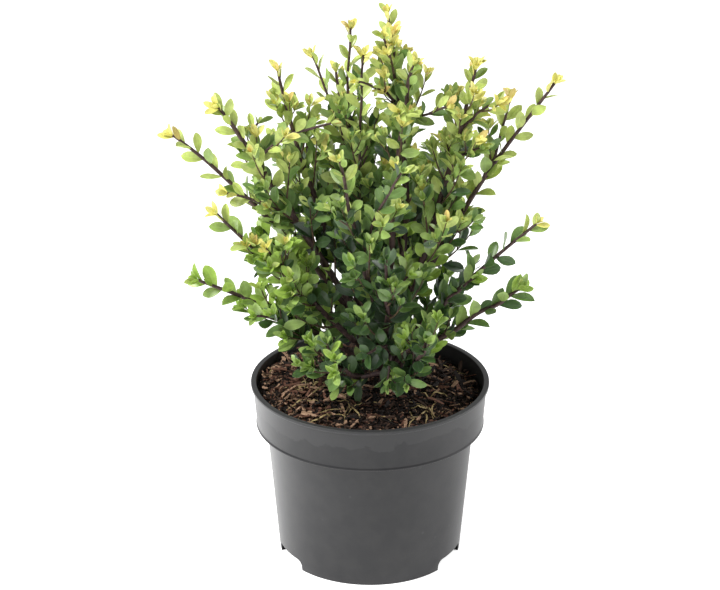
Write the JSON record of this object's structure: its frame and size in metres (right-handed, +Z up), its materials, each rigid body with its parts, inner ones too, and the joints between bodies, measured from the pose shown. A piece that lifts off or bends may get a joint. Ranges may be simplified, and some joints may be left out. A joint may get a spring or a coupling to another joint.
{
  "type": "potted japanese holly shrub",
  "caption": "Small-leaved evergreen japanese holly shrub, branching from a short trunk, growing in a round plastic nursery pot filled with soil.",
  "frame": {"origin": "centre of the pot's flat underside, on the surface the pot stands on", "axes": "+Z up through the pot and the crown; -Y is the front of the plant, the side seen in the picture; +X is its right"},
  "size_m": [0.3888, 0.2863, 0.5674],
  "materials": {
    "pot": "moulded dark grey plastic with a soft sheen and dried water marks",
    "soil": "dark potting soil under loose brown bark chips and straw-coloured fibres",
    "wood": "matt dark purple-brown bark",
    "leaf": "small leathery leaves, dark green inside, bright green and yellow at the tips"
  },
  "bodies": {
    "root": {"pot": "pot", "soil": "soil", "trunk": "wood", "bough_far_left": "wood", "bough_left_upper": "wood", "bough_left_tall": "wood", "bough_left_mid": "wood", "bough_crown_left": "wood", "bough_top": "wood", "bough_crown_right": "wood", "bough_right_tall": "wood", "bough_far_right": "wood", "bough_right_mid": "wood", "bough_front_high": "wood", "bough_back_left": "wood", "bough_back_right": "wood", "bough_back_high": "wood", "foliage_far_left": "leaf", "foliage_left_upper": "leaf", "foliage_left_tall": "leaf", "foliage_left_mid": "leaf", "foliage_left_low": "leaf", "foliage_crown_left": "leaf", "foliage_top": "leaf", "foliage_crown_right": "leaf", "foliage_right_tall": "leaf", "foliage_far_right": "leaf", "foliage_right_mid": "leaf", "foliage_right_low": "leaf", "foliage_front_left": "leaf", "foliage_front_right": "leaf", "foliage_front_high": "leaf", "foliage_front_mid": "leaf", "foliage_back_left": "leaf", "foliage_back_right": "leaf", "foliage_back_low_left": "leaf", "foliage_back_low_right": "leaf", "foliage_back_low": "leaf", "foliage_back_high": "leaf"}
  },
  "joints": []
}
